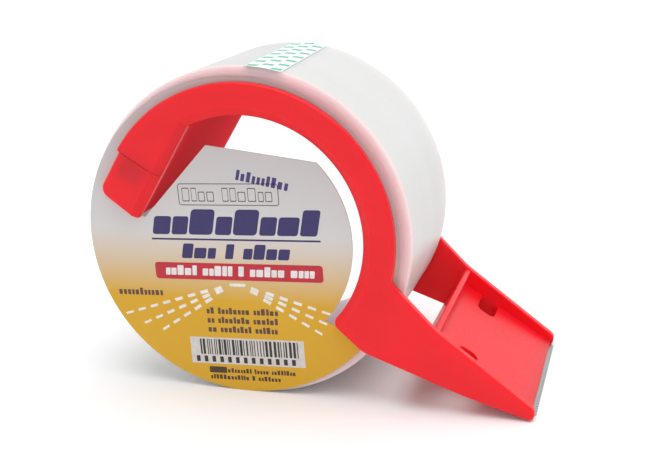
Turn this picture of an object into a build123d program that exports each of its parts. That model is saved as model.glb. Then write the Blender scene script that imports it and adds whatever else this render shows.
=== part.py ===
from build123d import *
import os
from math import acos, atan2, cos, degrees, radians, sin, sqrt

os.makedirs("parts", exist_ok=True)

# A hand dispenser for packing tape: two C-shaped side arms carry the roll on hub lips that
# reach into its core, a bridge through the core ties the arms' ends, and a ramp between two
# cheeks carries the cutting blade.
#
# Frame: +X towards the blade, +Y towards the back side arm, +Z up, origin at the centre of
# the bounding box's base.  The part stands on the roll and on the tips of its two cheeks.
# Everything seen from the side is drawn from the roll's axis, as X and height above the axis.

# ---- driving sizes, in mm ----------------------------------------------------------------

# the roll
tape_width = 48.0
core_bore_radius = 38.0
core_wall = 1.8
film_build = 6.5             # depth of the wound film on the core
tab_length = 10.0            # starter tab, measured round the roll
tab_thickness = 0.15
tab_angle = 82.2             # where the tab sits, in degrees above +X

# side arms
arm_thickness = 2.6
side_gap = 0.9               # between the roll's side and the inside of an arm
arm_over_bore = 4.3          # the arm's outer edge, outside the core's bore
outer_round_share = 0.28     # rounding of the outer face's edges, of the arm's thickness
inner_round_share = 0.15     # and of the inner face's
bevel_width = 2.35           # bevel round the arm's inner edge, on its outer face
bevel_share = 0.77           # how deep the bevel goes, of the arm's thickness
bevel_clear = 0.3            # the other edges start this far from the bevel

# hub
hub_clearance = 0.6          # hub lip inside the core, on the radius
hub_lip_thickness = 2.5
hub_lip_depth = 8.0
hub_step = 1.5               # the arm's inner edge, inside the lip
hub_lip_start = -38.0        # degrees
hub_lip_end = 113.0

# bridge and its end blocks: a flat chord of the hub, square to the line at bridge_angle
bridge_angle = 148.0
bridge_inset = 5.2           # from the arm's inner edge to the bridge's flat face
bridge_thickness = 2.4
bridge_top = 17.6            # how far the flat wall reaches above that line
bridge_bottom = 12.0          # and below it
seam_height = 1.2            # the joint between an arm and an end block, above the line
block_length = 13.6
block_width = 13.2
block_corner = 3.0
block_heel_round = 0.5
block_heel_drop = 1.1        # the foot slopes down to its inner end
seam_gap = 0.12
tongue_width = 6.0
tongue_length = 6.0
tongue_thickness = 1.2
tongue_clearance = 0.15
tongue_offset = 0.8          # outward from the middle of the arm's width
tongue_root = 1.0            # how far it starts inside the arm

# ramp
roll_gap = 10.6              # between the roll and the ramp's back wall
wall_thickness = 1.8
wall_top_angle = -23.1
wall_bottom_angle = -36.6
rim_dip = 0.7                # the wall's rim, under the cheeks' top edge, in degrees
rim_round = 0.7
ramp_length = 26.95          # from the back wall's rim to the cheeks' noses, along X
nose_height = 3.1
nose_back = 0.6              # the nose leans back by this much at its foot
nose_top_round = 2.0
nose_foot_round = 1.2
plate_thickness = 1.8
plate_drop = 5.8             # from the rim down to the plate's upper end
plate_end_back = 1.2         # the plate stops short of the noses
plate_end_height = 1.7
plate_root_angle = -29.0     # where the plate leaves the back wall
plate_bend = 2.5             # hollow corner between the back wall and the plate
hole_length = 6.0            # core-out holes beside the cheeks
hole_width = 10.5
hole_corner = 2.2
hole_place = 0.29            # of the way down the plate
hole_reach = 3.0             # each way through the plate
cheek_corner_angle = -14.2
cheek_corner_round = 3.0
rim_corner_round = 25.0
neck_angle = -43.0
neck_bulge = 2.5
neck_round = 1.5
throat_round = 9.0
mouth_overrun = 12.0         # the mouth's bevel runs on past the neck by this angle
mouth_depth = 40.0
belly_back = 18.3
belly_height = 5.3
belly_round = 35.0

# blade
blade_depth = 8.5
blade_thickness = 0.5
blade_lift = 0.3             # above the cheeks' lower edge
blade_back = 0.1             # tooth points, behind the noses
blade_side_gap = 0.5
bed_overrun = 1.0            # the bed under the plate, past the blade's back edge
tooth_depth = 0.8
tooth_pitch = 1.6
stake_radius = 1.0
stake_head_radius = 1.6
stake_head_height = 0.2
stake_clearance = 0.1
stake_x = -5.5               # from the tooth points
stake_spacing = 16.0
stake_count = 3

# label card
label_thickness = 0.4
label_inset = 1.55           # the card's radius is this much less than the roll's
label_back = 2.2             # the card sits off centre, away from the blade
label_drop = 1.5
label_gap = 0.25             # in front of the roll
label_island_inset = 3.2     # the card's middle, inside the arm's inner edge beside the blade
label_slot_clearance = 0.5
label_slot_start = -43.5     # degrees, under the front arm's neck
label_island_start = -42.0   # degrees about the card's own centre, as is the next one
label_shoulder_angle = 44.2  # where the card's middle leaves its round edge for a straight cut
label_peak_angle = 112.1     # where that cut meets the slanted one
label_peak_inset = 6.6       # the peak, inside the arm's inner edge
label_slant_gap = 1.1        # between the slanted cut's foot and the bridge's flat face

tolerance = 0.05             # for picking edges by where they lie

# ---- sizes that follow -------------------------------------------------------------------

roll_radius = core_bore_radius + core_wall + film_build
core_radius = core_bore_radius + core_wall
hub_radius = core_bore_radius - hub_clearance
hub_inner_radius = hub_radius - hub_lip_thickness
arm_inner_radius = hub_inner_radius - hub_step
arm_outer_radius = core_bore_radius + arm_over_bore
bridge_face = arm_inner_radius - bridge_inset
inner_y = tape_width / 2 + side_gap
outer_y = inner_y + arm_thickness
bevel_depth = bevel_share * arm_thickness
wall_radius = roll_radius + roll_gap
label_radius = roll_radius - label_inset
label_slot_radius = hub_radius + label_slot_clearance
label_island_radius = arm_inner_radius - label_island_inset + label_back


def polar(radius, angle):
    """A point at a radius and an angle about the roll's axis, in the side view."""
    return (radius * cos(radians(angle)), radius * sin(radians(angle)))


def on_bridge(out, down):
    """A point of the bridge: how far out from the axis, and how far down the flat face."""
    out_x, out_z = polar(out, bridge_angle)
    down_x, down_z = polar(down, bridge_angle + 90)
    return (out_x + down_x, out_z + down_z)


rim = polar(wall_radius, wall_top_angle)
nose_top = (rim[0] + ramp_length, nose_height - roll_radius)
nose_foot = (nose_top[0] - nose_back, -roll_radius)
belly = (nose_foot[0] - belly_back + nose_back, belly_height - roll_radius)
neck = polar(arm_inner_radius, neck_angle)
throat = polar(arm_outer_radius + neck_bulge, neck_angle)
plate_start = (rim[0], rim[1] - plate_drop)
plate_end = (nose_top[0] - plate_end_back, plate_end_height - roll_radius)

left_reach = max(roll_radius, label_radius + label_back)
roll_x = (left_reach - nose_top[0]) / 2
roll_z = roll_radius

plate_slope = (plate_end[1] - plate_start[1]) / (plate_end[0] - plate_start[0])
foot_slope = (nose_foot[1] - belly[1]) / (nose_foot[0] - belly[0])
plate_angle = degrees(atan2(plate_slope, 1))
foot_angle = degrees(atan2(foot_slope, 1))


def plate_top(x):
    return plate_start[1] + plate_slope * (x - plate_start[0])


def blade_line(x, lift):
    """Height of the blade's bed at x, this far above the cheeks' lower edge."""
    return nose_foot[1] + foot_slope * (x - nose_foot[0]) + lift / cos(radians(foot_angle))


def side_plane(y):
    """The side view's plane at a width: its origin is the roll's axis, it faces the front."""
    return Plane(origin=(roll_x, y, roll_z), x_dir=(1, 0, 0), z_dir=(0, -1, 0))


def tilted_plane(point, angle):
    """A plane on a side-view point, its x running down a slope and its y along the roll."""
    run, rise = cos(radians(angle)), sin(radians(angle))
    return Plane(
        origin=(roll_x + point[0], 0, roll_z + point[1]), x_dir=(run, 0, rise), z_dir=(-rise, 0, run)
    )


def nearest(shapes, point):
    return shapes.sort_by_distance((point[0], point[1], 0))[0]


def mouth_corner(grow):
    """The angle at which the mouth's arc meets the bridge's flat face, for a mouth grown by this."""
    radius, face = arm_inner_radius + grow, bridge_face + grow
    return bridge_angle - degrees(acos(face / radius))


def draw_mouth(grow):
    """The open middle of an arm: the arc, the flat chord and a far line across the open side."""
    radius, face = arm_inner_radius + grow, bridge_face + grow
    first_angle = neck_angle - mouth_overrun
    far_end = on_bridge(face, mouth_depth)
    with BuildLine() as outline:
        CenterArc((0, 0), radius, first_angle, mouth_corner(grow) - first_angle)
        Polyline(polar(radius, mouth_corner(grow)), far_end, polar(radius, first_angle))
    make_face(outline.edges())


def bevel_mouth():
    """Cut the wide bevel round an arm's inner edge, on the front arm's outer face."""
    with BuildSketch(side_plane(-outer_y)) as wide:
        draw_mouth(bevel_width)
    with BuildSketch(side_plane(-outer_y + bevel_depth)) as narrow:
        draw_mouth(0)
    loft([wide.sketch.face(), narrow.sketch.face()], ruled=True, mode=Mode.SUBTRACT)


def band(inner, outer, start, end):
    """A ring's sector between two radii and two angles about the roll's axis."""
    with BuildLine() as outline:
        CenterArc((0, 0), outer, start, end - start)
        CenterArc((0, 0), inner, start, end - start)
        Line(polar(inner, start), polar(outer, start))
        Line(polar(inner, end), polar(outer, end))
    make_face(outline.edges())


def blade_plane():
    """The plane of the blade's lower face: x runs out past its tooth points, y along it."""
    foot_x = nose_top[0] - blade_back
    return tilted_plane((foot_x, blade_line(foot_x, blade_lift)), foot_angle)


def draw_tongue(clearance):
    """The tongue that holds an end block to an arm, or, with a clearance, the slot for it."""
    reach = tongue_length - seam_height + clearance
    middle = (bridge_face + arm_outer_radius) / 2 + tongue_offset
    half = tongue_width / 2 + clearance
    root = -seam_height - tongue_root
    corners = [(middle - half, root), (middle + half, root), (middle + half, reach), (middle - half, reach)]
    with BuildLine() as outline:
        Polyline(*[on_bridge(out, down) for out, down in corners], close=True)
    make_face(outline.edges())


def off_axis(edge):
    """Distance of an edge's middle from the roll's axis, in the side view."""
    middle = edge @ 0.5
    return sqrt((middle.X - roll_x) ** 2 + (middle.Z - roll_z) ** 2)


def off_bridge(edge, turn=0):
    """How far out an edge's middle is, along the line square to the bridge's flat face."""
    out_x, out_z = polar(1, bridge_angle + turn)
    middle = edge @ 0.5
    return (middle.X - roll_x) * out_x + (middle.Z - roll_z) * out_z


def is_seam(edge):
    """Whether an edge lies along the joint between an arm and its end block."""
    above_line = -off_bridge(edge, turn=90)
    return seam_height - seam_gap - tolerance < above_line < seam_height + tolerance


def on_bend(edge):
    """Whether an edge along the roll is where the back wall meets the top of the plate."""
    middle = edge @ 0.5
    off_wall = off_axis(edge) - wall_radius - wall_thickness
    off_plate = middle.Z - roll_z - plate_top(middle.X - roll_x)
    return abs(off_wall) < tolerance and abs(off_plate) < tolerance


def finish(builder, name):
    builder.part.label = name
    export_step(builder.part, f"parts/{name}.step")


# ---- dispenser frame ---------------------------------------------------------------------

seam_outer = on_bridge(sqrt(arm_outer_radius**2 - seam_height**2), -seam_height)
seam_angle = bridge_angle - degrees(atan2(seam_height, sqrt(arm_outer_radius**2 - seam_height**2)))
cheek_corner = polar(arm_outer_radius, cheek_corner_angle)
blade_bed = [(nose_foot[0] - back, blade_line(nose_foot[0] - back, blade_lift + blade_thickness))
             for back in (nose_foot[0] - plate_end[0], blade_depth + bed_overrun)]
plate_under = plate_thickness / cos(radians(plate_angle))
plate_root_x = polar(wall_radius + wall_thickness / 2, plate_root_angle)[0]
hole_x = plate_start[0] + hole_place * (plate_end[0] - plate_start[0])

with BuildPart() as dispenser_frame:
    # one C-shaped arm with its cheek, on the front side
    with BuildSketch(side_plane(-inner_y)) as arm:
        with BuildLine():
            CenterArc((0, 0), arm_outer_radius, seam_angle, cheek_corner_angle - seam_angle)
            Polyline(cheek_corner, rim, nose_top, nose_foot, belly, throat, neck)
            CenterArc((0, 0), arm_inner_radius, neck_angle, mouth_corner(0) - neck_angle)
            arm_end = polar(arm_inner_radius, mouth_corner(0))
            Polyline(arm_end, on_bridge(bridge_face, -seam_height), seam_outer)
        make_face()
        for point, radius in (
            (cheek_corner, cheek_corner_round),
            (rim, rim_corner_round),
            (nose_top, nose_top_round),
            (nose_foot, nose_foot_round),
            (belly, belly_round),
            (throat, throat_round),
            (neck, neck_round),
        ):
            fillet(nearest(arm.vertices(), point), radius)
    extrude(amount=arm_thickness)
    bevel_mouth()
    for face, inside, share in (
        (dispenser_frame.faces().sort_by(Axis.Y)[0], arm_inner_radius + bevel_width, outer_round_share),
        (dispenser_frame.faces().sort_by(Axis.Y)[-1], arm_inner_radius, inner_round_share),
    ):
        outline = face.edges().filter_by(lambda edge: off_axis(edge) > inside + bevel_clear)
        fillet(outline.filter_by(lambda edge: not is_seam(edge)), share * arm_thickness)
    # the hub lip that the core turns on
    with BuildSketch(side_plane(-inner_y)):
        band(hub_inner_radius, hub_radius, hub_lip_start, hub_lip_end)
    extrude(amount=-hub_lip_depth)
    # the tongue that the bridge's end block slides on
    with BuildSketch(side_plane(-inner_y - (arm_thickness - tongue_thickness) / 2)):
        draw_tongue(0)
    extrude(amount=tongue_thickness)
    mirror(about=Plane.XZ)
    # the ramp: back wall, plate and blade bed
    with BuildSketch(side_plane(0)) as wall:
        band(wall_radius, wall_radius + wall_thickness, wall_bottom_angle, wall_top_angle - rim_dip)
        for radius in (wall_radius, wall_radius + wall_thickness):
            fillet(nearest(wall.vertices(), polar(radius, wall_top_angle - rim_dip)), rim_round)
    extrude(amount=inner_y, both=True)
    with BuildSketch(side_plane(0)):
        with BuildLine():
            Polyline(
                (plate_root_x, plate_top(plate_root_x)), plate_end, *blade_bed,
                (blade_bed[1][0], plate_top(blade_bed[1][0]) - plate_under),
                (plate_root_x, plate_top(plate_root_x) - plate_under), close=True,
            )
        make_face()
    extrude(amount=inner_y, both=True)
    # the hollow corner where the wall meets the plate
    across = dispenser_frame.edges().filter_by(Axis.Y)
    fillet(across.filter_by(on_bend), plate_bend)
    # core-out holes through the plate, one beside each cheek
    with BuildSketch(tilted_plane((hole_x, plate_top(hole_x)), plate_angle)):
        with Locations((0, inner_y - hole_width / 2), (0, hole_width / 2 - inner_y)):
            RectangleRounded(hole_length, hole_width, hole_corner)
    extrude(amount=hole_reach, both=True, mode=Mode.SUBTRACT)
    # stakes that hold the blade under the plate
    with BuildSketch(blade_plane()):
        with Locations((stake_x, 0)):
            with GridLocations(1, stake_spacing, 1, stake_count):
                Circle(stake_radius)
    extrude(amount=blade_thickness)
    with BuildSketch(blade_plane()):
        with Locations((stake_x, 0)):
            with GridLocations(1, stake_spacing, 1, stake_count):
                Circle(stake_head_radius)
    extrude(amount=-stake_head_height)
finish(dispenser_frame, "dispenser_frame")

# ---- bridge through the core -------------------------------------------------------------

block_down = block_length - seam_height
block_out = bridge_face + block_width
heel = on_bridge(bridge_face, block_down + block_heel_drop)
with BuildPart() as core_bridge:
    with BuildSketch(side_plane(-inner_y)) as block:
        with BuildLine():
            Polyline(
                on_bridge(bridge_face, seam_gap - seam_height), on_bridge(block_out, seam_gap - seam_height),
                on_bridge(block_out, block_down), heel, close=True,
            )
        make_face()
        fillet(nearest(block.vertices(), on_bridge(block_out, block_down)), block_corner)
        fillet(nearest(block.vertices(), heel), block_heel_round)
    extrude(amount=arm_thickness)
    bevel_mouth()
    outer_face = core_bridge.faces().sort_by(Axis.Y)[0]
    outline = outer_face.edges().filter_by(
        lambda edge: off_bridge(edge) > bridge_face + bevel_width + tolerance and not is_seam(edge)
    )
    fillet(outline, outer_round_share * arm_thickness)
    with BuildSketch(side_plane(-inner_y - arm_thickness / 2 + tongue_thickness / 2 + tongue_clearance)):
        draw_tongue(tongue_clearance)
    extrude(amount=tongue_thickness + 2 * tongue_clearance, mode=Mode.SUBTRACT)
    mirror(about=Plane.XZ)
    # the flat wall between the two blocks, clear of the arms above the seam
    with BuildSketch(side_plane(0)):
        with BuildLine():
            Polyline(
                on_bridge(bridge_face, -bridge_top), on_bridge(bridge_face + bridge_thickness, -bridge_top),
                on_bridge(bridge_face + bridge_thickness, bridge_bottom),
                on_bridge(bridge_face, bridge_bottom), close=True,
            )
        make_face()
    extrude(amount=inner_y - seam_gap, both=True)
    with BuildSketch(side_plane(0)):
        with BuildLine():
            Polyline(
                on_bridge(bridge_face, seam_gap - seam_height),
                on_bridge(bridge_face + bridge_thickness, seam_gap - seam_height),
                on_bridge(bridge_face + bridge_thickness, bridge_bottom),
                on_bridge(bridge_face, bridge_bottom), close=True,
            )
        make_face()
    extrude(amount=inner_y, both=True)
finish(core_bridge, "core_bridge")

# ---- cutting blade -----------------------------------------------------------------------

blade_width = 2 * (inner_y - blade_side_gap)
tooth_count = int(blade_width / tooth_pitch)
tooth_start = -tooth_count * tooth_pitch / 2
teeth = [(-tooth_depth, tooth_start)]
for tooth in range(tooth_count):
    root = tooth_start + tooth * tooth_pitch
    teeth.append((0, root + tooth_pitch / 2))
    teeth.append((-tooth_depth, root + tooth_pitch))

with BuildPart() as cutting_blade:
    with BuildSketch(blade_plane()):
        with BuildLine():
            Polyline(
                *teeth, (-tooth_depth, blade_width / 2), (-blade_depth, blade_width / 2),
                (-blade_depth, -blade_width / 2), (-tooth_depth, -blade_width / 2), close=True,
            )
        make_face()
        with Locations((stake_x, 0)):
            with GridLocations(1, stake_spacing, 1, stake_count):
                Circle(stake_radius + stake_clearance, mode=Mode.SUBTRACT)
    extrude(amount=blade_thickness)
finish(cutting_blade, "cutting_blade")

# ---- roll --------------------------------------------------------------------------------

with BuildPart() as roll_core:
    with BuildSketch(side_plane(0)):
        Circle(core_radius)
        Circle(core_bore_radius, mode=Mode.SUBTRACT)
    extrude(amount=tape_width / 2, both=True)
finish(roll_core, "roll_core")

with BuildPart() as tape_windings:
    with BuildSketch(side_plane(0)):
        Circle(roll_radius)
        Circle(core_radius, mode=Mode.SUBTRACT)
    extrude(amount=tape_width / 2, both=True)
finish(tape_windings, "tape_windings")

tab_half_angle = degrees(tab_length / roll_radius) / 2
with BuildPart() as starter_tab:
    with BuildSketch(side_plane(0)):
        band(roll_radius, roll_radius + tab_thickness, tab_angle - tab_half_angle, tab_angle + tab_half_angle)
    extrude(amount=tape_width / 2, both=True)
finish(starter_tab, "starter_tab")

# ---- label card --------------------------------------------------------------------------

# The card's slot follows the hub lip round and is wider at the top, where two straight cuts
# shape the middle of the card.  The middle hangs from the part below the slot.
slot_foot = bridge_bottom + label_slot_clearance
slot_end = on_bridge(sqrt(label_slot_radius**2 - slot_foot**2), slot_foot)
slot_end_angle = degrees(atan2(slot_end[1], slot_end[0]))
slant_foot = on_bridge(bridge_face - label_slant_gap, slot_foot)
peak = polar(arm_inner_radius - label_peak_inset, label_peak_angle)
label_centre = (-label_back, -label_drop)

with BuildPart() as label_card:
    with BuildSketch(side_plane(-tape_width / 2 - label_gap)):
        with Locations(label_centre):
            Circle(label_radius)
        with BuildLine():
            slot = CenterArc((0, 0), label_slot_radius, label_slot_start, slot_end_angle - label_slot_start)
            island = CenterArc(
                label_centre, label_island_radius, label_island_start,
                label_shoulder_angle - label_island_start,
            )
            Polyline(slot @ 1, slant_foot, peak, island @ 1)
            Line(island @ 0, slot @ 0)
        make_face(mode=Mode.SUBTRACT)
    extrude(amount=label_thickness)
finish(label_card, "label_card")
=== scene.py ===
# %% [markdown]
# # A hand dispenser for packing tape
#
# The object is a red plastic frame with two C-shaped arms. They hold a wide roll of clear
# film between them, a printed card covers the front of the roll, and a ramp ends in a
# toothed steel blade. The frame, the bridge, the blade and the card keep the exact shapes
# they were designed with, and get their finishes here. The roll's parts are made again in
# finer detail, because their looks come from things too small for a machine drawing.

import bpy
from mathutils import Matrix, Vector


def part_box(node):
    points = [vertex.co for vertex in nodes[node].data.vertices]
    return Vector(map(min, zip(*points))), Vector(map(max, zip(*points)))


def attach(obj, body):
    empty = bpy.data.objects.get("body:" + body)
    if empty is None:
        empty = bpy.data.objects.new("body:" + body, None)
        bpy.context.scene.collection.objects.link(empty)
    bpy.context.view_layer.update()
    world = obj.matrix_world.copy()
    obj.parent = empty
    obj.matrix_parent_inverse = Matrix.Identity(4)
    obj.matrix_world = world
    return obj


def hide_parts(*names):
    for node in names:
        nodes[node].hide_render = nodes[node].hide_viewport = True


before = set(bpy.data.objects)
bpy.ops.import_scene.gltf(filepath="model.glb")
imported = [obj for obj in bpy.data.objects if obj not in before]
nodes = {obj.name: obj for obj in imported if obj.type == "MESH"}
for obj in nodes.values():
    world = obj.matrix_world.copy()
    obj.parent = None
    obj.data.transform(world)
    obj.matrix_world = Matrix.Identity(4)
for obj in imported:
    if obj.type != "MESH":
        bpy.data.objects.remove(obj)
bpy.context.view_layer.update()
print("nodes:", ", ".join(sorted(nodes)))

# %% Tools for the work
import random
from math import atan2, cos, degrees, hypot, pi, radians, sin

import bpy
from mathutils import Matrix, Vector, noise

mm = 0.001

# %% [markdown]
# ## Where things are
#
# Everything on the roll is measured from its axis, so the first step reads the axis and the
# radii from the parts themselves. Nothing is typed twice: if the roll were designed wider,
# the detailed pieces below would follow it.

# %% Measure the roll
film_low, film_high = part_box("tape_windings")
core_low, core_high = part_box("roll_core")
card_low, card_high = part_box("label_card")

axis_x = (film_low.x + film_high.x) / 2
axis_z = (film_low.z + film_high.z) / 2
half_width = (film_high.y - film_low.y) / 2
film_radius = (film_high.x - film_low.x) / 2
core_radius = (core_high.x - core_low.x) / 2


def from_axis(point):
    """Distance of a point from the roll's axis."""
    return hypot(point.x - axis_x, point.z - axis_z)


def angle_of(point):
    """Angle of a point about the roll's axis, in degrees above +X."""
    return degrees(atan2(point.z - axis_z, point.x - axis_x))


def round_axis(radius, angle, y):
    """The point at a radius and an angle about the roll's axis, at a place along it."""
    turn = radians(angle)
    return Vector((axis_x + radius * cos(turn), y, axis_z + radius * sin(turn)))


bore_radius = min(from_axis(v.co) for v in nodes["roll_core"].data.vertices)
tab_angles = [angle_of(v.co) for v in nodes["starter_tab"].data.vertices]
tab_start, tab_end = min(tab_angles), max(tab_angles)
tab_radius = max(from_axis(v.co) for v in nodes["starter_tab"].data.vertices)
print(f"core from {bore_radius / mm:.1f} to {core_radius / mm:.1f} mm")
print(f"film from there to {film_radius / mm:.1f} mm")
print(f"starter tab from {tab_start:.1f} to {tab_end:.1f} degrees")

# %% [markdown]
# ## Camera
#
# The camera stands a little to the right and above, and looks down on the card. It is set
# by an angle round the object, an angle above it and a distance, which is easier to picture
# than three coordinates. The last small tilt turns it about its own line of sight.

# %% Camera
camera_azimuth = 16.57
camera_elevation = 16.42
camera_tilt = -1.913
camera_distance = 313.34 * mm
camera_lens = 60.45
camera_shift_x, camera_shift_y = -0.0284, -0.0173
aim_point = Vector((3.63, 0.37, 44.0)) * mm


def towards(azimuth, elevation):
    """The direction from the object to something seen from it at these angles, in degrees."""
    turn, rise = radians(azimuth), radians(elevation)
    return Vector((sin(turn) * cos(rise), -cos(turn) * cos(rise), sin(rise)))


camera = bpy.data.objects.new("camera", bpy.data.cameras.new("camera"))
bpy.context.scene.collection.objects.link(camera)
bpy.context.scene.camera = camera
line_of_sight = towards(camera_azimuth, camera_elevation)
camera.location = aim_point + camera_distance * line_of_sight
level = line_of_sight.to_track_quat("Z", "Y").to_matrix()
camera.rotation_euler = (level @ Matrix.Rotation(radians(camera_tilt), 3, "Z")).to_euler()
camera.data.lens = camera_lens
camera.data.shift_x = camera_shift_x
camera.data.shift_y = camera_shift_y
print("camera at", [round(value, 3) for value in camera.location])

# %% [markdown]
# ## Light and floor
#
# A product table is a pale sweep under large soft lamps. A soft sky opens the shadows. It is
# brightest near the horizon, so that it meets the pale floor without a dark band. A
# wide lamp above makes the ramp the lightest red, and a weaker one at the left shapes the
# arms. A third one low at the back shines along the ramp towards the viewer, which gives
# the flat plastic its milky sheen. Lamps that are far away light the whole floor alike, so
# they are suns with a large angle, which keeps their shadows soft.

# %% Sky
scene = bpy.context.scene
scene.view_settings.view_transform = "Standard"
sky = bpy.data.worlds.new("sky")
sky.use_nodes = True
sky_nodes, sky_links = sky.node_tree.nodes, sky.node_tree.links
sky_nodes["Background"].inputs["Color"].default_value = (1.0, 1.0, 1.0, 1.0)
sky_direction = sky_nodes.new("ShaderNodeTexCoord").outputs["Generated"]
sky_height = sky_nodes.new("ShaderNodeSeparateXYZ")
sky_links.new(sky_direction, sky_height.inputs["Vector"])
sky_fall = sky_nodes.new("ShaderNodeMapRange")
for name, value in (("From Min", 0.05), ("From Max", 0.45), ("To Min", 1.0), ("To Max", 0.56)):
    sky_fall.inputs[name].default_value = value
sky_links.new(sky_height.outputs["Z"], sky_fall.inputs["Value"])
sky_links.new(sky_fall.outputs["Result"], sky_nodes["Background"].inputs["Strength"])
scene.world = sky


# %% Lamps
def lamp(name, azimuth, elevation, strength, angle):
    """A far soft lamp that shines from a direction. A wider angle gives softer shadows."""
    light = bpy.data.lights.new(name, "SUN")
    light.energy = strength
    light.angle = radians(angle)
    holder = bpy.data.objects.new(name, light)
    scene.collection.objects.link(holder)
    direction = towards(azimuth, elevation)
    holder.location = direction
    holder.rotation_euler = direction.to_track_quat("Z", "Y").to_euler()


lamp("top_lamp", 60, 80, 1.75, 55)
lamp("left_lamp", -50, 30, 0.2, 40)
lamp("back_lamp", 170, 28, 0.38, 60)


# %% [markdown]
# ## Helpers for meshes and materials
#
# Every piece below is a list of points and a list of faces, so one helper turns those into
# an object, smooths it up to a crease angle and puts it on its body. Materials are small
# trees of nodes round one Principled shader. Values that are the same all over go straight
# on its sockets, and only what varies is linked.

# %% Mesh helper
def piece(name, points, faces, material, body, crease=30):
    """A mesh object that rides on a body of the frame and wears the finish it is given."""
    mesh = bpy.data.meshes.new(name)
    mesh.from_pydata(points, [], faces)
    mesh.shade_smooth()
    mesh.set_sharp_from_angle(angle=radians(crease))
    mesh.materials.append(material)
    made = bpy.data.objects.new(name, mesh)
    scene.collection.objects.link(made)
    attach(made, body)
    print(f"{name}: {len(points)} points, {len(faces)} faces")
    return made


def ring_faces(rows, columns, closed_rows=True, closed_columns=True):
    """Quads over a grid of points, rows first, that may close on itself either way."""
    faces = []
    for row in range(rows if closed_rows else rows - 1):
        for column in range(columns if closed_columns else columns - 1):
            next_row, next_column = (row + 1) % rows, (column + 1) % columns
            corners = [(row, column), (row, next_column),
                       (next_row, next_column), (next_row, column)]
            faces.append([r * columns + c for r, c in corners])
    return faces


# %% Material helper
class Finish:
    """A material round one Principled shader, with a few words for the nodes that feed it."""

    def __init__(self, name, **sockets):
        self.material = bpy.data.materials.new(name)
        self.material.use_nodes = True
        self.tree = self.material.node_tree
        self.shader = self.tree.nodes["Principled BSDF"]
        for socket, value in sockets.items():
            self.shader.inputs[socket.replace("_", " ")].default_value = value
        self.place = self.node("ShaderNodeTexCoord").outputs["Object"]

    def node(self, kind, links=None, **values):
        """A node with its sockets set by name and its inputs linked from a dictionary."""
        made = self.tree.nodes.new(kind)
        for name, value in values.items():
            label = name.replace("_", " ")
            if label in made.inputs:
                made.inputs[label].default_value = value
            else:
                setattr(made, name, value)
        for name, source in (links or {}).items():
            self.tree.links.new(source, made.inputs[name])
        return made

    def stretched(self, along_x, along_y, along_z):
        """Object coordinates stretched differently along each axis, for streaks."""
        scaled = self.node("ShaderNodeMapping", {"Vector": self.place})
        scaled.inputs["Scale"].default_value = (along_x, along_y, along_z)
        return scaled.outputs["Vector"]

    def along(self, axis):
        """One of the object coordinates, by its letter."""
        return self.node("ShaderNodeSeparateXYZ", {"Vector": self.place}).outputs[axis]

    def off_middle(self):
        """Distance from the plane half-way between the two arms."""
        made = self.node("ShaderNodeMath", {0: self.along("Y")}, operation="ABSOLUTE")
        return made.outputs["Value"]

    def clouds(self, per_metre, detail=3.0, source=None):
        """A soft noise between 0 and 1, with so many features to a metre."""
        links = {"Vector": source or self.place}
        made = self.node("ShaderNodeTexNoise", links, Scale=per_metre, Detail=detail)
        return made.outputs["Fac"]

    def between(self, source, low, high, from_low=0.3, from_high=0.7):
        """The source value turned into a range, which noise fills mostly in its middle."""
        made = self.node("ShaderNodeMapRange", {"Value": source},
                         From_Min=from_low, From_Max=from_high)
        made.inputs["To Min"].default_value = low
        made.inputs["To Max"].default_value = high
        return made.outputs["Result"]

    def blend(self, amount, first, second):
        """One colour turning into another. Either may be a colour or a socket."""
        made = self.node("ShaderNodeMix", data_type="RGBA")
        if amount is not None:
            self.tree.links.new(amount, made.inputs[0])
        for socket, value in ((made.inputs[6], first), (made.inputs[7], second)):
            if isinstance(value, tuple):
                socket.default_value = (*value, 1.0)
            else:
                self.tree.links.new(value, socket)
        return made.outputs[2]

    def feed(self, socket, source):
        """Links a source to a socket of the shader."""
        self.tree.links.new(source, self.shader.inputs[socket])

    def relief(self, height, depth, strength=1.0):
        """Small bumps, given as a height between 0 and 1 and a depth in metres."""
        made = self.node("ShaderNodeBump", {"Height": height}, Strength=strength, Distance=depth)
        self.feed("Normal", made.outputs["Normal"])


# %% Floor
def paper_floor():
    finish = Finish("pale_paper", Roughness=0.9)
    patches = finish.between(finish.clouds(6.0), 0, 1)
    finish.feed("Base Color", finish.blend(patches, (0.93, 0.93, 0.93), (0.95, 0.95, 0.95)))
    return finish.material


floor_reach = 6.0
floor_mesh = bpy.data.meshes.new("floor")
floor_mesh.from_pydata(
    [(x * floor_reach, y * floor_reach, 0.0) for x, y in ((-1, -1), (1, -1), (1, 1), (-1, 1))],
    [],
    [(0, 1, 2, 3)],
)
floor_mesh.materials.append(paper_floor())
floor = bpy.data.objects.new("floor", floor_mesh)
scene.collection.objects.link(floor)


# %% [markdown]
# ## Red moulded plastic
#
# The frame and the bridge are one glossy polypropylene, moulded in a polished tool. Such a
# plastic is never quite even: it has a faint cloudiness from the way it flowed, a fine
# orange-peel skin that breaks up highlights, and thin places glow a little because light
# gets into it. Subsurface scattering gives the glow, and two noises give the rest. Only
# the outside of the tool is polished, so the bridge is matt between the arms.

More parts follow.
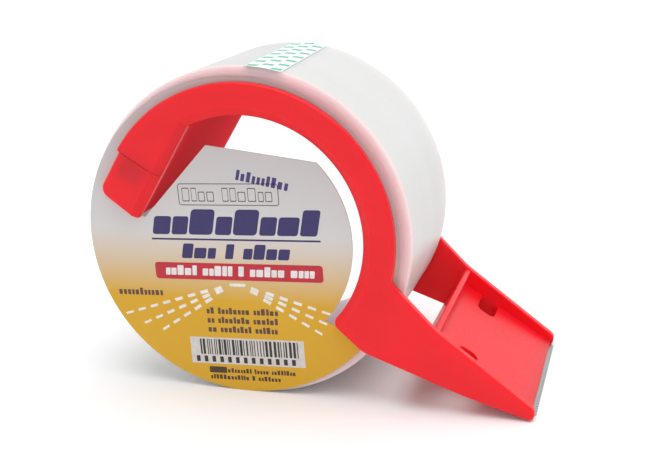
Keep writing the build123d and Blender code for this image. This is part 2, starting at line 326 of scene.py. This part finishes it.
# %% Red plastic
def red_plastic(name, first, second, matt_inside=False):
    finish = Finish(name, Specular_IOR_Level=0.34, Subsurface_Weight=0.6)
    finish.shader.inputs["Subsurface Radius"].default_value = (1.0, 0.10, 0.12)
    finish.shader.inputs["Subsurface Scale"].default_value = 5.0 * mm
    flow = finish.clouds(45.0, source=finish.stretched(1.0, 0.5, 1.6))
    finish.feed("Base Color", finish.blend(finish.between(flow, 0, 1), first, second))
    skin = finish.between(finish.clouds(900.0, detail=2.0), 0.32, 0.42)
    if matt_inside:
        arm_start, arm_end = half_width - 1.0 * mm, half_width + 1.0 * mm
        inside = finish.between(finish.off_middle(), 0.65, 0.0, arm_start, arm_end)
        both = finish.node("ShaderNodeMath", {0: skin, 1: inside}, operation="ADD")
        skin = both.outputs["Value"]
    finish.feed("Roughness", skin)
    finish.relief(finish.clouds(350.0, detail=1.0), 0.02 * mm, 0.4)
    return finish.material


def wear_finish(node, material):
    """Gives a designed part its finish in place of the plain one it came with."""
    nodes[node].data.materials.clear()
    nodes[node].data.materials.append(material)
    print(node, "is finished in", material.name)


frame_red = red_plastic("frame_red", (0.86, 0.006, 0.016), (0.79, 0.005, 0.013))
bridge_red = red_plastic("bridge_red", (0.85, 0.006, 0.016), (0.78, 0.005, 0.013),
                         matt_inside=True)
wear_finish("dispenser_frame", frame_red)
wear_finish("core_bridge", bridge_red)


# %% [markdown]
# ## Blade steel
#
# The blade is stamped from spring strip. Strip steel keeps fine lines from rolling, which
# run along it, so the noise is stretched a lot along the blade and little across it. The
# stamped teeth are brighter in places and duller in others, and the same lines do that.

# %% Blade steel
def strip_steel():
    finish = Finish("strip_steel", Metallic=1.0)
    lines = finish.clouds(900.0, detail=4.0, source=finish.stretched(3.0, 0.05, 3.0))
    patches = finish.between(finish.clouds(120.0), 0, 0.5)
    tone = finish.blend(finish.between(lines, 0, 1), (0.30, 0.29, 0.29), (0.46, 0.45, 0.45))
    finish.feed("Base Color", finish.blend(patches, tone, (0.36, 0.35, 0.35)))
    finish.feed("Roughness", finish.between(lines, 0.24, 0.42))
    finish.relief(lines, 0.01 * mm, 0.5)
    return finish.material


wear_finish("cutting_blade", strip_steel())


# %% [markdown]
# ## The printed card
#
# The card is a coated board, grey at the top and golden yellow at the bottom. The gradient
# follows height, so a map range on the card's own coordinate is all it needs, and a faint
# cloudiness keeps the print from looking like a screen. The back is plain grey board. A
# thin clear coat stands for the varnish. The marks are added afterwards as real layers of
# ink.

# %% Card board
card_middle = Vector(((card_low.x + card_high.x) / 2, 0, (card_low.z + card_high.z) / 2))
card_face = card_low.y


def card_board():
    finish = Finish("card_board", Specular_IOR_Level=0.25, Coat_Weight=0.15, Coat_Roughness=0.2)
    height = finish.along("Z")
    fade = finish.between(height, 1, 0, axis_z - 19.5 * mm, axis_z + 0.5 * mm)
    upper = finish.between(height, 0, 1, axis_z - 4.0 * mm, axis_z + 32.0 * mm)
    grey = finish.blend(upper, (0.63, 0.62, 0.62), (0.50, 0.465, 0.465))
    clouds = finish.between(finish.clouds(25.0), 0, 0.5)
    yellow = finish.blend(clouds, (0.66, 0.37, 0.022), (0.60, 0.33, 0.018))
    printed = finish.blend(fade, grey, yellow)
    behind = finish.between(finish.along("Y"), 0, 1, card_face + 0.15 * mm, card_face + 0.3 * mm)
    finish.feed("Base Color", finish.blend(behind, printed, (0.50, 0.47, 0.44)))
    fibres = finish.clouds(1500.0, detail=2.0, source=finish.stretched(1.0, 1.0, 0.35))
    finish.feed("Roughness", finish.between(fibres, 0.38, 0.5))
    finish.relief(fibres, 0.008 * mm, 0.5)
    return finish.material


wear_finish("label_card", card_board())


# %% [markdown]
# ## Ink on the card
#
# Print has crisp edges at any distance, and a mesh keeps them better than a texture. Each
# colour of ink is one thin layer of raised outlines, a few hundredths of a millimetre
# proud. The lettering of a real card says nothing here: words are set as plain rows of
# slanted blocks, the way a designer greeks a text that isn't written yet.
#
# All marks are laid out on the card's face in millimetres from the roll's axis, on lines
# that rise slightly to the right.

# %% Ink layers
print_turn = 2.2
ink_height = 0.02 * mm
ink_sunk = 0.01 * mm


def turned(point, angle, about=(0.0, 0.0)):
    """A point of the card's face, in millimetres, turned about another one."""
    x, z = point[0] - about[0], point[1] - about[1]
    c, s = cos(radians(angle)), sin(radians(angle))
    return (about[0] + c * x - s * z, about[1] + s * x + c * z)


def ink_layer(name, outlines, colour, layer=1, roughness=0.35):
    """One colour of ink: each outline is a thin raised plate on the front of the card."""
    finish = Finish(name + "_ink", Specular_IOR_Level=0.4, Coat_Weight=0.25, Coat_Roughness=0.18)
    dark = tuple(0.86 * part for part in colour)
    patches = finish.between(finish.clouds(700.0), 0, 1)
    finish.feed("Base Color", finish.blend(patches, colour, dark))
    finish.feed("Roughness", finish.between(finish.clouds(1500.0), roughness, roughness + 0.12))
    points, faces = [], []
    for outline in outlines:
        first, count = len(points), len(outline)
        for y in (card_face - layer * ink_height, card_face + ink_sunk):
            points += [(axis_x + x * mm, y, axis_z + z * mm) for x, z in outline]
        faces.append([first + i for i in range(count)])
        faces.append([first + count + i for i in reversed(range(count))])
        for i in range(count):
            j = (i + 1) % count
            faces.append([first + j, first + i, first + count + i, first + count + j])
    return piece(name, points, faces, finish.material, "dispenser")


# %% Shapes to print
def pill(x, z, length, height, radius, slant=0.0, turn=print_turn, steps=6):
    """A rounded plate from a foot at x, z: four quarter circles, and a lean to the right."""
    right, left = x + length - radius, x + radius
    top, foot = z + height - radius, z + radius
    middles = [(right, top, 0), (left, top, 90), (left, foot, 180), (right, foot, 270)]
    outline = []
    for middle_x, middle_z, start in middles:
        for step in range(steps + 1):
            angle = radians(start + 90 * step / steps)
            corner_x, corner_z = middle_x + radius * cos(angle), middle_z + radius * sin(angle)
            outline.append(turned((corner_x + slant * (corner_z - z), corner_z), turn))
    return outline


def bar(x, z, length, height, slant=0.0, turn=print_turn):
    """A block with slightly softened corners."""
    return pill(x, z, length, height, 0.14 * min(length, height), slant, turn, steps=2)


def rule_frame(x, z, length, height, radius, line):
    """A thin rounded rule, as short plates from an outer outline to an inner one."""
    outer = pill(x, z, length, height, radius)
    inner = pill(x + line, z + line, length - 2 * line, height - 2 * line, radius - line)
    return [[outer[i], outer[i - 1], inner[i - 1], inner[i]] for i in range(len(outer))]


def hollow(outline, line):
    """The same outline as a thin line: short plates between it and a smaller copy of itself."""
    middle = (sum(x for x, _ in outline) / len(outline), sum(z for _, z in outline) / len(outline))
    inner = []
    for x, z in outline:
        shrink = 1 - line / hypot(x - middle[0], z - middle[1])
        inner.append((middle[0] + shrink * (x - middle[0]), middle[1] + shrink * (z - middle[1])))
    return [[outline[i], outline[i - 1], inner[i - 1], inner[i]] for i in range(len(outline))]


def words(x, z, length, height, counts, slant=0.0, gap=0.16, turn=print_turn, space=0.7):
    """A line of greeked words: blocks of uneven width, with a wider gap between words."""
    chance = random.Random(sum(counts) * 31 + int(length * 10))
    widths = [[chance.uniform(0.7, 1.15) for _ in range(count)] for count in counts]
    total = sum(sum(word) for word in widths) + space * (len(counts) - 1)
    scale = length / total
    blocks = []
    for word in widths:
        for width in word:
            rise = chance.choice((0.72, 0.72, 1.0))
            blocks.append(bar(x, z, width * scale * (1 - gap), height * rise, slant, turn))
            x += width * scale
        x += space * scale
    return blocks


# %% Title and size
navy = (0.026, 0.016, 0.120)
title_slant = 0.22
band_left, band_length = -28.2, 49.6
title_words = words(-27.8, 0.0, 48.8, 7.3, (8,), slant=title_slant, gap=0.09)
ink_layer("title_print", title_words, navy)
ink_layer("title_rule", [bar(band_left, -1.6, band_length, 0.5)], navy)
size_words = words(-19.7, -6.9, 32.1, 4.3, (3, 1, 4), slant=title_slant, gap=0.12)
ink_layer("size_print", size_words, navy)
side_word = words(-4.7, 15.0, 15.4, 2.9, (10,), slant=0.05, gap=0.34, turn=-10.0)
ink_layer("side_word", side_word, (0.045, 0.030, 0.170))

# %% Framed line
ink_layer("thin_frame", rule_frame(-18.7, 8.4, 29.3, 6.2, 0.9, 0.24), (0.13, 0.11, 0.11))
framed_outlines = []
for block in words(-17.5, 9.5, 26.8, 3.9, (4, 6), gap=0.22):
    framed_outlines += hollow(block, 0.3)
ink_layer("framed_words", framed_outlines, (0.09, 0.08, 0.08))

# %% Red band
ink_layer("red_band", [pill(band_left, -13.1, band_length, 4.9, 0.9)], (0.52, 0.006, 0.024))
band_words = words(-25.1, -11.9, 44.2, 2.9, (5, 5, 1, 5, 4), slant=0.1)
ink_layer("band_words", band_words, (0.80, 0.76, 0.76), layer=2)

# %% [markdown]
# ### The fan of dashes
#
# White dashes run down from one point in six rays, three on each side. Close to the point
# the rays would lie on each other, so each side starts with one block there. A loop steps
# along each ray, and any dash that would reach over the card's cut edge is left out: the
# middle of the card is a disc about its own centre, and the loop tests against that.

# %% Middle of the card
island_radius = 32.6
slot_foot = -41.0
island_middle = ((card_middle.x - axis_x) / mm, (card_middle.z - axis_z) / mm)


def on_middle(outline):
    """Whether an outline stays on the middle of the card, where its right side is cut round."""
    for x, z in outline:
        across, up = x - island_middle[0], z - island_middle[1]
        beside_slot = x > 0 and degrees(atan2(up, across)) > slot_foot
        if beside_slot and hypot(across, up) > island_radius:
            return False
    return True


# %% Dash fan
def ray(apex, angle, first, last, step, length, height, taper=0.35):
    """Dashes along a ray that leaves the apex at an angle. They grow towards the apex."""
    dashes, reach = [], first
    while reach < last:
        near = 1.0 - taper * (reach - first) / (last - first)
        dash = [(reach, -height / 2 * near), (reach + length, -height / 2 * near),
                (reach + length, height / 2 * near), (reach, height / 2 * near)]
        dashes.append([turned((apex[0] + x, apex[1] + z), angle, apex) for x, z in dash])
        reach += step
    return dashes


fan_apex = (-3.7, -14.0)
block_angles = (-21.0, 205.0)
right_rays = ((-15.0, 30.0), (-21.5, 30.0), (-28.5, 26.0))  # each an angle and a reach
left_rays = ((198.5, 36.0), (206.0, 32.0), (214.0, 28.5))
dash_fan = [pill(-6.2, -14.9, 4.8, 0.9, 0.4)]
for angle in block_angles:
    dash_fan += ray(fan_apex, angle, first=4.6, last=5.0, step=4.1, length=2.3, height=1.9)
for angle, reach in right_rays + left_rays:
    dash_fan += ray(fan_apex, angle, first=9.0, last=reach, step=4.15, length=2.4, height=0.98)
dash_fan = [dash for dash in dash_fan if on_middle(dash)]
ink_layer("dash_fan", dash_fan, (0.84, 0.80, 0.74))

# %% Small lines
line_pitch = 2.75
small_lines = words(-40.5, -18.2, 14.0, 2.1, (11,), gap=0.3)
for line, length in enumerate((21.6, 21.3, 21.0)):
    small_lines += words(-13.9, -23.2 - line_pitch * line, length, 1.9, (2, 8, 6), gap=0.26)
ink_layer("small_words", small_lines, (0.105, 0.042, 0.026))

# %% Stripe panel
panel_left, panel_foot, panel_length, panel_height = -20.0, -38.4, 34.2, 8.0
panel = pill(panel_left, panel_foot, panel_length, panel_height, 0.2)
ink_layer("stripe_panel", [panel], (0.66, 0.62, 0.60))
stripes, stripe_chance = [], random.Random(7)
stripe_x, stripe_end = panel_left + 3.0, panel_left + panel_length - 2.0
stripe_foot, stripe_height = panel_foot + 2.8, 4.7
while stripe_x < stripe_end:
    stripe_width = stripe_chance.choice((0.28, 0.28, 0.5, 0.75))
    stripes.append(bar(stripe_x, stripe_foot, stripe_width, stripe_height))
    stripe_x += stripe_width + stripe_chance.choice((0.3, 0.42, 0.6))
block_count, block_pitch = 13, 2.4
for i in range(block_count):
    stripes.append(bar(panel_left + 1.5 + block_pitch * i, panel_foot + 0.5, 1.1, 1.8))
ink_layer("stripe_marks", stripes, (0.022, 0.018, 0.016), layer=2)

# %% Foot lines
card_centre_x, card_centre_z = -2.2, -1.5
print_reach = 44.0
foot_lines = [bar(-14.9, -41.2, 5.3, 1.9)]
foot_lines += words(-9.3, -41.0, 20.6, 1.4, (8, 5, 8), gap=0.3)
foot_lines += words(-14.7, -43.1, 21.4, 1.4, (12, 1, 7), gap=0.3)
foot_lines = [
    line for line in foot_lines
    if hypot(line[0][0] - card_centre_x, line[0][1] - card_centre_z) < print_reach
]
ink_layer("foot_words", foot_lines, (0.055, 0.030, 0.012))


# %% [markdown]
# ## The core
#
# The film is wound on a tube of pale board. Such tubes are made by winding strips of paper
# in a spiral, which leaves a fine helical seam inside, and their ends are cut with a slight
# burr. The tube is built as a ring of points round a small profile, and the seam is a groove
# that the inner points dip into when they are close to the helix.

# %% Core tube
seam_depth = 0.12 * mm
seam_half_width = 0.5 * mm
seam_lead = 62.0 * mm
end_round = 0.25 * mm


def seam_dip(angle, y):
    """How far the inner wall is sunk at a place: a groove along a helix."""
    along = (y + half_width - seam_lead * angle / 360) % seam_lead
    away = min(along, seam_lead - along)
    return seam_depth * max(0.0, 1 - away / seam_half_width)


def core_tube():
    rounds, inner_steps = 360, 96
    straight = 2 * half_width - 2 * end_round
    profile = [(bore_radius, -half_width + end_round + straight * i / inner_steps, 1)
               for i in range(inner_steps + 1)]
    end_inner, end_outer = bore_radius + end_round, core_radius - end_round
    profile += [(end_inner, half_width, 0), (end_outer, half_width, 0),
                (core_radius, half_width - end_round, 0), (core_radius, end_round - half_width, 0),
                (end_outer, -half_width, 0), (end_inner, -half_width, 0)]
    points = []
    for step in range(rounds):
        angle = 360 * step / rounds
        for radius, y, inside in profile:
            sunk = seam_dip(angle, y) if inside else 0.0
            points.append(round_axis(radius + sunk, angle, y))
    return points, ring_faces(rounds, len(profile))


def core_board():
    finish = Finish("core_board", Roughness=0.7, Specular_IOR_Level=0.3, Subsurface_Weight=0.3)
    finish.shader.inputs["Subsurface Scale"].default_value = 3.0 * mm
    fibres = finish.clouds(400.0, detail=5.0, source=finish.stretched(1.0, 3.0, 1.0))
    pulp = finish.blend(finish.between(fibres, 0, 1), (0.86, 0.81, 0.86), (0.78, 0.73, 0.79))
    flecks = finish.between(finish.clouds(1600.0), 0, 0.6, 0.62, 0.75)
    finish.feed("Base Color", finish.blend(flecks, pulp, (0.48, 0.43, 0.44)))
    finish.relief(fibres, 0.05 * mm, 0.5)
    return finish.material


core_points, core_faces = core_tube()
core = piece("core_tube", core_points, core_faces, core_board(), "roll")
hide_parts("roll_core")


# %% [markdown]
# ## The wound film
#
# From the side a roll of film is hundreds of thin edges. They never line up: groups of
# turns stand a few hundredths of a millimetre in or out, which reads as fine rings. From
# above, the skin of the roll is smooth and glossy but not flat, because winding tension
# leaves soft bands round it. The radius also falls by one film thickness over a full turn,
# and steps back up where the tape ends, under the starter tab.
#
# The whole thing is one profile carried round the axis, with the ring steps drawn from a
# seeded list so that every run is the same.

# %% Wound film
film_thickness = 0.05 * mm
ring_count = 30
skin_steps = 64
film_rounds = 360
corner = 0.12 * mm
ledge_depth = 0.12 * mm
wave_height = 0.02 * mm
band_width = 5.0 * mm
bubble_width = 16.0 * mm
bubbles_round = 2.4


def ring_steps(seed):
    """How far each group of turns is set back from the roll's side."""
    chance = random.Random(seed)
    return [chance.uniform(0.0, 1.0) ** 2 * ledge_depth for _ in range(ring_count)]


def side_profile(seed, side):
    """Points up one side of the film, from the core to the skin, with a small ledge per group."""
    inner, outer = core_radius, film_radius - corner
    pitch = (outer - inner) / ring_count
    profile = []
    for index, back in enumerate(ring_steps(seed)):
        y = side * (half_width - back)
        profile.append((inner + pitch * (index + 0.04), y))
        profile.append((inner + pitch * (index + 0.96), y))
    return profile


def skin_wave(angle, y):
    """Soft bands and shallow bubbles in the skin, always below the roll's full radius."""
    bands = noise.noise(Vector((0.0, y / band_width, 3.0)))
    round_x, round_z = cos(radians(angle)) * bubbles_round, sin(radians(angle)) * bubbles_round
    bubbles = noise.noise(Vector((round_x, y / bubble_width, round_z)))
    return (0.5 + 0.25 * bands + 0.25 * bubbles) * wave_height


def side_point(radius, angle, y, lost):
    """A point of a side. The turns by the core stay round it, and the others follow the spiral."""
    return round_axis(radius - lost * (radius > core_radius + corner), angle, y)


def wound_film():
    front, back = side_profile(11, -1), side_profile(23, 1)
    flat = 2 * half_width - 2 * corner
    skin = [-half_width + corner + flat * i / skin_steps for i in range(skin_steps + 1)]
    points = []
    for step in range(film_rounds):
        angle = tab_end + 360 * step / film_rounds
        lost = film_thickness * step / film_rounds
        points += [side_point(radius, angle, y, lost) for radius, y in front]
        points += [round_axis(film_radius - lost - skin_wave(angle, y), angle, y) for y in skin]
        points += [side_point(radius, angle, y, lost) for radius, y in reversed(back)]
    columns = len(front) + len(skin) + len(back)
    return points, ring_faces(film_rounds, columns)


# %% [markdown]
# ### The film's finish
#
# Each turn of film is clear, but hundreds of them scatter the light like milk, so the roll
# is a solid with strong subsurface scattering. The red glow of the arms through the cut edges
# of the turns is painted: the base colour is painted pinker towards the sides, as painted red
# light. Its skin has long soft streaks that run with the tape.

# %% Film finish
def clear_film():
    finish = Finish("clear_film", Specular_IOR_Level=0.4, Subsurface_Weight=1.0,
                    Coat_Weight=0.12, Coat_Roughness=0.32)
    finish.shader.inputs["Subsurface Radius"].default_value = (1.0, 0.8, 0.76)
    finish.shader.inputs["Subsurface Scale"].default_value = 7.0 * mm
    lines = finish.clouds(60.0, detail=1.0, source=finish.stretched(0.12, 1.6, 0.12))
    streaks = finish.between(lines, 0, 1, 0.1, 0.9)
    milk = finish.blend(streaks, (0.665, 0.67, 0.66), (0.61, 0.615, 0.61))
    distance, edge = finish.off_middle(), half_width - 0.6 * mm
    # Painted red light: the colour turns pink towards both sides, and pinker still at the very
    # edge, as if the red arms shone through the film.
    painted_red_glow = finish.between(distance, 0, 0.6, half_width - 6.0 * mm, edge)
    rim = finish.between(distance, 0, 1, half_width - 1.5 * mm, edge)
    skin = finish.blend(painted_red_glow, milk, (0.66, 0.635, 0.62))
    finish.feed("Base Color", finish.blend(rim, skin, (0.78, 0.57, 0.585)))
    finish.feed("Roughness", finish.between(finish.clouds(40.0, detail=1.0), 0.34, 0.42, 0.1, 0.9))
    return finish.material


film_points, film_faces = wound_film()
film = piece("wound_film", film_points, film_faces, clear_film(), "roll", crease=45)
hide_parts("tape_windings")

# %% [markdown]
# ## The starter tab
#
# A strip of thin white paper folds over the tape's end so that a thumb can find it. It
# bends with the roll, sits a little askew, and is printed with staggered green dashes. The
# strip is a bent sheet with real thickness, pressed into the skin of the film, and the
# dashes are ink on it.

# %% Tab sheet
tab_steps, tab_rows = 20, 48
paper_thickness = 0.15 * mm
paper_proud = 0.06 * mm
tab_skew = 1.25


def paper_crease(share_along):
    """Paper never lies quite flat: a few soft ripples along the tab."""
    return 0.012 * mm * sin(9.5 * pi * share_along) * sin(3.0 * pi * share_along)


def on_tab(share_round, share_along, above=0.0):
    """A point on the top of the tab, by its share of the way round and along."""
    angle = tab_start + (tab_end - tab_start) * share_round + tab_skew * (2 * share_along - 1)
    y = -half_width + 2 * half_width * share_along
    radius = min(film_radius + paper_proud + paper_crease(share_along), tab_radius)
    return round_axis(radius + above, angle, y)


def tab_sheet():
    points = []
    for above in (0.0, -paper_thickness):
        for row in range(tab_rows + 1):
            along = row / tab_rows
            points += [on_tab(step / tab_steps, along, above) for step in range(tab_steps + 1)]
    across, layer = tab_steps + 1, (tab_rows + 1) * (tab_steps + 1)
    top = ring_faces(tab_rows + 1, across, False, False)
    faces = top + [[layer + i for i in reversed(face)] for face in top]
    rim = list(range(across))
    rim += [row * across + tab_steps for row in range(1, tab_rows + 1)]
    rim += [tab_rows * across + step for step in range(tab_steps - 1, -1, -1)]
    rim += [row * across for row in range(tab_rows - 1, 0, -1)]
    for i, first in enumerate(rim):
        second = rim[(i + 1) % len(rim)]
        faces.append([second, first, layer + first, layer + second])
    return points, faces


def tab_paper():
    finish = Finish("tab_paper", Specular_IOR_Level=0.4, Subsurface_Weight=0.2)
    finish.shader.inputs["Subsurface Scale"].default_value = 1.0 * mm
    fibres = finish.clouds(900.0, detail=4.0)
    tint = finish.blend(finish.between(fibres, 0, 1), (0.90, 0.93, 0.91), (0.85, 0.89, 0.87))
    finish.feed("Base Color", tint)
    finish.feed("Roughness", finish.between(fibres, 0.4, 0.55))
    finish.relief(fibres, 0.01 * mm, 0.4)
    return finish.material


tab_points, tab_faces = tab_sheet()
tab = piece("tab_sheet", tab_points, tab_faces, tab_paper(), "roll")
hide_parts("starter_tab")


# %% Tab dashes
def tab_dashes():
    """Small plates laid on the curved sheet, each of them bent over a few strips."""
    rows, across, strips = 7, 3, 4
    dash_run, dash_half, dash_skew = 0.27, 0.024, 0.02
    dash_proud, dash_sunk = 0.012 * mm, -0.02 * mm
    points, faces = [], []
    for row in range(rows):
        for column in range(across):
            middle_round = (column + 0.5) / across
            middle_along = (row + 0.24 + 0.5 * (column % 2)) / rows
            first = len(points)
            for strip in range(strips + 1):
                run = strip / strips - 0.5
                share_round = middle_round + run * dash_run
                for side in (-1, 1):
                    share_along = middle_along + side * dash_half - dash_skew * run
                    points.append(on_tab(share_round, share_along, dash_proud))
                    points.append(on_tab(share_round, share_along, dash_sunk))
            for strip in range(strips):
                a = first + 4 * strip
                b = a + 4
                faces += [[a, a + 2, b + 2, b], [a + 1, b + 1, b + 3, a + 3],
                          [a, b, b + 1, a + 1], [a + 2, a + 3, b + 3, b + 2]]
            last = first + 4 * strips
            faces.append([first, first + 1, first + 3, first + 2])
            faces.append([last, last + 2, last + 3, last + 1])
    return points, faces


def green_ink():
    finish = Finish("green_ink", Specular_IOR_Level=0.4)
    patches = finish.between(finish.clouds(900.0), 0, 1)
    finish.feed("Base Color", finish.blend(patches, (0.07, 0.42, 0.26), (0.16, 0.55, 0.38)))
    finish.feed("Roughness", finish.between(finish.clouds(1500.0), 0.4, 0.55))
    return finish.material


dash_points, dash_faces = tab_dashes()
piece("tab_dashes", dash_points, dash_faces, green_ink(), "roll")
